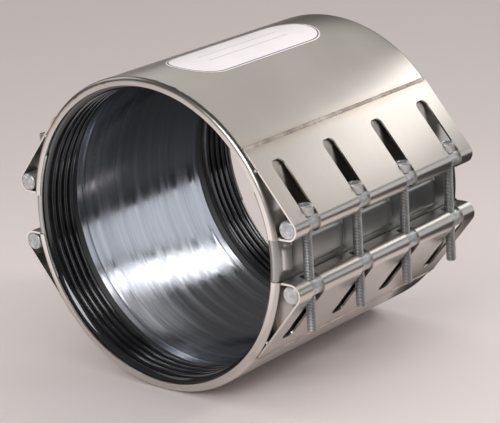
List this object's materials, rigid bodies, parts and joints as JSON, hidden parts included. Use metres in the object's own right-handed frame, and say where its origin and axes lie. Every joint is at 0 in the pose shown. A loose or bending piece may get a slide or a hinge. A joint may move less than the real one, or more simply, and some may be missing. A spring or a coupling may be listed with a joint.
{
  "type": "rigid sleeve coupling",
  "caption": "Two-part stainless pipe coupling with a rubber sealing sleeve, round bars along both sides and cap screws that draw the halves together.",
  "frame": {"origin": "on the pipe axis, half-way along the coupling and half-way up the gap between the halves", "axes": "+Y along the pipe axis, +X towards the row of screws that stand head up, +Z from the lower half to the upper half"},
  "size_m": [0.3598, 0.3, 0.3214],
  "materials": {
    "stainless_sheet": "satin rolled sheet",
    "bridge_sheet": "dull pressed sheet",
    "weld_bead": "rippled weld with slight heat tint",
    "zinc_bar": "zinc coated, slightly mottled",
    "zinc_screw": "zinc plated",
    "rubber_black": "glossy moulded rubber",
    "polished_strip": "bright rolled strip, streaked round the bore",
    "label_white": "smooth printed film"
  },
  "bodies": {
    "lower_half": {"lower_casing": "stainless_sheet", "lower_right_bar_loop": "stainless_sheet", "lower_left_bar_loop": "stainless_sheet", "lower_right_weld": "weld_bead", "lower_left_weld": "weld_bead", "lower_right_bar": "zinc_bar", "lower_left_bar": "zinc_bar", "sealing_sleeve": "rubber_black", "strip_insert": "polished_strip", "right_bridge_plate": "bridge_sheet", "left_bridge_plate": "bridge_sheet"},
    "upper_half": {"upper_casing": "stainless_sheet", "upper_right_bar_loop": "stainless_sheet", "upper_left_bar_loop": "stainless_sheet", "upper_right_weld": "weld_bead", "upper_left_weld": "weld_bead", "upper_right_bar": "zinc_bar", "upper_left_bar": "zinc_bar", "label": "label_white"},
    "right_screw_1": {"right_screw_1": "zinc_screw"},
    "right_screw_2": {"right_screw_2": "zinc_screw"},
    "right_screw_3": {"right_screw_3": "zinc_screw"},
    "right_screw_4": {"right_screw_4": "zinc_screw"},
    "left_screw_1": {"left_screw_1": "zinc_screw"},
    "left_screw_2": {"left_screw_2": "zinc_screw"},
    "left_screw_3": {"left_screw_3": "zinc_screw"},
    "left_screw_4": {"left_screw_4": "zinc_screw"}
  },
  "joints": [
    {"name": "closing", "type": "slide", "parent": "lower_half", "child": "upper_half", "axis": [0, 0, -1], "range_m": [0, 0.014], "deforming": ["sealing_sleeve", "strip_insert", "right_bridge_plate", "left_bridge_plate"]},
    {"name": "right_screw_1_turn", "type": "hinge", "parent": "upper_half", "child": "right_screw_1", "pos_m": [0.1688, -0.117, 0.0495], "axis": [0, 0, -1], "range_deg": [0, 3361]},
    {"name": "right_screw_2_turn", "type": "hinge", "parent": "upper_half", "child": "right_screw_2", "pos_m": [0.1688, -0.039, 0.0495], "axis": [0, 0, -1], "range_deg": [0, 3361]},
    {"name": "right_screw_3_turn", "type": "hinge", "parent": "upper_half", "child": "right_screw_3", "pos_m": [0.1688, 0.039, 0.0495], "axis": [0, 0, -1], "range_deg": [0, 3361]},
    {"name": "right_screw_4_turn", "type": "hinge", "parent": "upper_half", "child": "right_screw_4", "pos_m": [0.1688, 0.117, 0.0495], "axis": [0, 0, -1], "range_deg": [0, 3361]},
    {"name": "left_screw_1_turn", "type": "hinge", "parent": "lower_half", "child": "left_screw_1", "pos_m": [-0.1688, -0.117, -0.0495], "axis": [0, 0, 1], "range_deg": [0, 3361]},
    {"name": "left_screw_2_turn", "type": "hinge", "parent": "lower_half", "child": "left_screw_2", "pos_m": [-0.1688, -0.039, -0.0495], "axis": [0, 0, 1], "range_deg": [0, 3361]},
    {"name": "left_screw_3_turn", "type": "hinge", "parent": "lower_half", "child": "left_screw_3", "pos_m": [-0.1688, 0.039, -0.0495], "axis": [0, 0, 1], "range_deg": [0, 3361]},
    {"name": "left_screw_4_turn", "type": "hinge", "parent": "lower_half", "child": "left_screw_4", "pos_m": [-0.1688, 0.117, -0.0495], "axis": [0, 0, 1], "range_deg": [0, 3361]}
  ],
  "couplings": [
    {"joint": "right_screw_1_turn", "follows": "closing", "rad_per_m": 4188.8},
    {"joint": "right_screw_2_turn", "follows": "closing", "rad_per_m": 4188.8},
    {"joint": "right_screw_3_turn", "follows": "closing", "rad_per_m": 4188.8},
    {"joint": "right_screw_4_turn", "follows": "closing", "rad_per_m": 4188.8},
    {"joint": "left_screw_1_turn", "follows": "closing", "rad_per_m": 4188.8},
    {"joint": "left_screw_2_turn", "follows": "closing", "rad_per_m": 4188.8},
    {"joint": "left_screw_3_turn", "follows": "closing", "rad_per_m": 4188.8},
    {"joint": "left_screw_4_turn", "follows": "closing", "rad_per_m": 4188.8}
  ]
}
